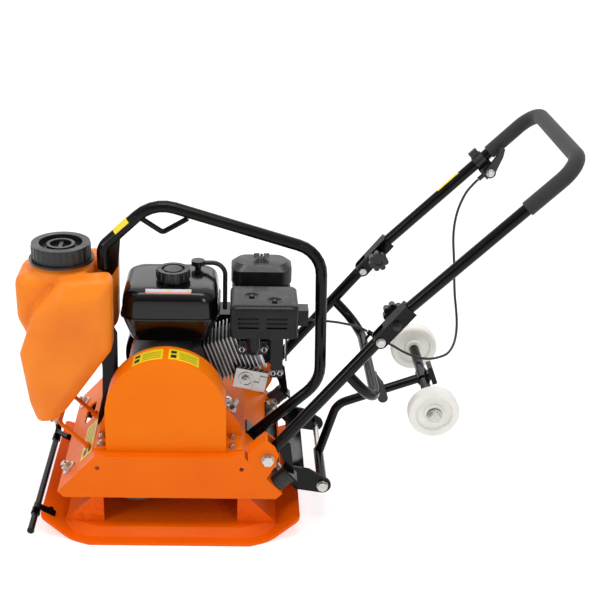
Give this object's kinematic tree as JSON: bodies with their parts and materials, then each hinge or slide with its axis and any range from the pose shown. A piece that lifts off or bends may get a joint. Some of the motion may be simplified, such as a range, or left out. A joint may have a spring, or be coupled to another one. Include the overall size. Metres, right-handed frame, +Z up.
{
  "type": "vibrating plate compactor",
  "caption": "Petrol vibrating plate compactor with water tank, belt guard, engine, folding handle and a swing-down transport wheel kit.",
  "frame": {"origin": "on the ground, at the middle of the flat sole of the base plate", "axes": "+X towards the operator handle, +Y to the side away from the belt guard, +Z up"},
  "size_m": [0.9967, 0.447, 0.7625],
  "materials": {
    "base": "orange enamel, worn and dirty",
    "deck": "orange enamel, satin",
    "guard": "orange enamel, satin",
    "black_steel": "gloss black powder coat",
    "zinc": "zinc plated",
    "steel": "bare machined steel",
    "tank": "orange moulded polyethylene",
    "black_plastic": "satin black plastic",
    "fuel_tank": "gloss black enamel",
    "casting": "die cast, matt",
    "iron": "machined casting",
    "shield": "pressed and bright",
    "exhaust": "heat-resistant satin black",
    "engine_paint": "red-orange enamel over the casting",
    "rubber": "moulded, matt",
    "foam": "closed foam sleeve",
    "hose": "red-orange hose",
    "brass": "satin brass",
    "wheel": "off-white nylon",
    "red_plastic": "red plastic",
    "cable": "black cable sheath"
  },
  "bodies": {
    "chassis": {"base_plate": "base", "rubber_mounts": "rubber", "mount_bolts": "zinc", "deck": "deck", "exciter_housing": "iron", "exciter_bearings": "steel", "v_belt": "rubber", "belt_guard": "guard", "frame_bolts": "zinc", "handle_brackets": "deck", "rubber_buffers": "rubber", "roll_hoop": "black_steel", "tank_rod": "deck", "water_tank": "tank", "water_valve": "brass", "water_hose": "hose", "sprinkler_bar": "black_steel", "crankcase": "engine_paint", "cylinder_block": "casting", "rocker_cover": "exhaust", "cylinder_shield": "shield", "muffler": "exhaust", "muffler_shield": "exhaust", "air_filter_base": "black_plastic", "air_filter_cover": "black_plastic", "carburettor": "casting", "fuel_tank": "fuel_tank", "vent_valve": "black_plastic", "fan_shroud": "black_steel", "recoil_cover": "black_steel", "cable_lower": "cable", "wheel_bracket": "black_steel", "pivot_shaft": "zinc"},
    "handle_lower": {"handle_lower": "black_steel", "hinge_bolts": "zinc"},
    "handle_upper": {"handle_upper": "black_steel", "foam_grip": "foam", "throttle_clamp": "black_plastic", "cable_upper": "cable"},
    "knob_near": {"star_knob_near": "black_plastic"},
    "knob_far": {"star_knob_far": "black_plastic"},
    "wheel_frame": {"wheel_arm": "black_steel", "axle": "black_steel", "latch_clip": "rubber"},
    "wheel_near": {"wheel_near": "wheel"},
    "wheel_far": {"wheel_far": "wheel"},
    "throttle_lever": {"throttle_lever": "black_plastic"},
    "crank": {"crankshaft": "steel", "clutch_pulley": "iron"},
    "exciter": {"exciter_shaft": "steel", "exciter_pulley": "iron"},
    "water_cap": {"water_cap": "black_plastic"},
    "fuel_cap": {"fuel_cap": "black_plastic"},
    "valve_lever": {"valve_lever": "red_plastic"},
    "starter": {"starter_grip": "black_plastic"},
    "engine_switch": {"engine_switch": "red_plastic"},
    "choke_lever": {"choke_lever": "zinc"},
    "fuel_lever": {"fuel_lever": "red_plastic"},
    "oil_plug": {"oil_plug": "zinc"},
    "wing_nut": {"wing_nut": "zinc"}
  },
  "joints": [
    {"name": "handle_tilt", "type": "hinge", "parent": "chassis", "child": "handle_lower", "pos_m": [0.185, 0, 0.172], "axis": [0, -1, 0], "range_deg": [0, 12], "deforming": ["cable_lower"]},
    {"name": "handle_fold", "type": "hinge", "parent": "handle_lower", "child": "handle_upper", "pos_m": [0.381, 0, 0.417], "axis": [0, -1, 0], "range_deg": [0, 100], "deforming": ["cable_upper"]},
    {"name": "knob_near_turn", "type": "hinge", "parent": "handle_upper", "child": "knob_near", "pos_m": [0.40786, -0.168, 0.45058], "axis": [0, 1, 0], "continuous": true},
    {"name": "knob_far_turn", "type": "hinge", "parent": "handle_upper", "child": "knob_far", "pos_m": [0.40786, 0.168, 0.45058], "axis": [0, 1, 0], "continuous": true},
    {"name": "wheel_swing", "type": "hinge", "parent": "chassis", "child": "wheel_frame", "pos_m": [0.295, 0, 0.076], "axis": [0, 1, 0], "range_deg": [0, 125]},
    {"name": "wheel_near_spin", "type": "hinge", "parent": "wheel_frame", "child": "wheel_near", "pos_m": [0.495, -0.139, 0.254], "axis": [0, 1, 0], "continuous": true},
    {"name": "wheel_far_spin", "type": "hinge", "parent": "wheel_frame", "child": "wheel_far", "pos_m": [0.495, 0.139, 0.254], "axis": [0, 1, 0], "continuous": true},
    {"name": "throttle_turn", "type": "hinge", "parent": "handle_upper", "child": "throttle_lever", "pos_m": [0.61703, 0.156, 0.63258], "axis": [0, 1, 0], "range_deg": [0, 65]},
    {"name": "crank_spin", "type": "hinge", "parent": "chassis", "child": "crank", "pos_m": [-0.01, 0, 0.28], "axis": [0, 1, 0], "continuous": true},
    {"name": "exciter_spin", "type": "hinge", "parent": "chassis", "child": "exciter", "pos_m": [-0.066, 0, 0.112], "axis": [0, 1, 0], "continuous": true},
    {"name": "water_cap_turn", "type": "hinge", "parent": "chassis", "child": "water_cap", "pos_m": [-0.201, -0.052, 0.519], "axis": [0, 0, 1], "continuous": true},
    {"name": "fuel_cap_turn", "type": "hinge", "parent": "chassis", "child": "fuel_cap", "pos_m": [0.003, -0.025, 0.47], "axis": [0, 0, 1], "range_deg": [0, 90]},
    {"name": "valve_turn", "type": "hinge", "parent": "chassis", "child": "valve_lever", "pos_m": [-0.2743, 0.15, 0.06], "axis": [1, 0, 0], "range_deg": [0, 90]},
    {"name": "starter_pull", "type": "slide", "parent": "chassis", "child": "starter", "axis": [-0.866, 0, 0.5], "range_m": [0, 0.11], "stiffness_N_per_m": 60},
    {"name": "switch_turn", "type": "hinge", "parent": "chassis", "child": "engine_switch", "pos_m": [0.085, 0.095, 0.242], "axis": [0, 1, 0], "range_deg": [0, 60]},
    {"name": "choke_turn", "type": "hinge", "parent": "chassis", "child": "choke_lever", "pos_m": [0.152, 0.077, 0.36], "axis": [0, 1, 0], "range_deg": [-20, 30]},
    {"name": "fuel_turn", "type": "hinge", "parent": "chassis", "child": "fuel_lever", "pos_m": [0.176, 0.077, 0.332], "axis": [0, 1, 0], "range_deg": [-30, 20]},
    {"name": "oil_plug_turn", "type": "hinge", "parent": "chassis", "child": "oil_plug", "pos_m": [0.098, -0.068, 0.21], "axis": [0.7502, -0.2001, 0.6302], "continuous": true},
    {"name": "wing_nut_turn", "type": "hinge", "parent": "chassis", "child": "wing_nut", "pos_m": [0.171, 0.067, 0.48], "axis": [0, 0, 1], "continuous": true}
  ],
  "couplings": [
    {"joint": "exciter_spin", "follows": "crank_spin", "ratio": 0.84615}
  ]
}
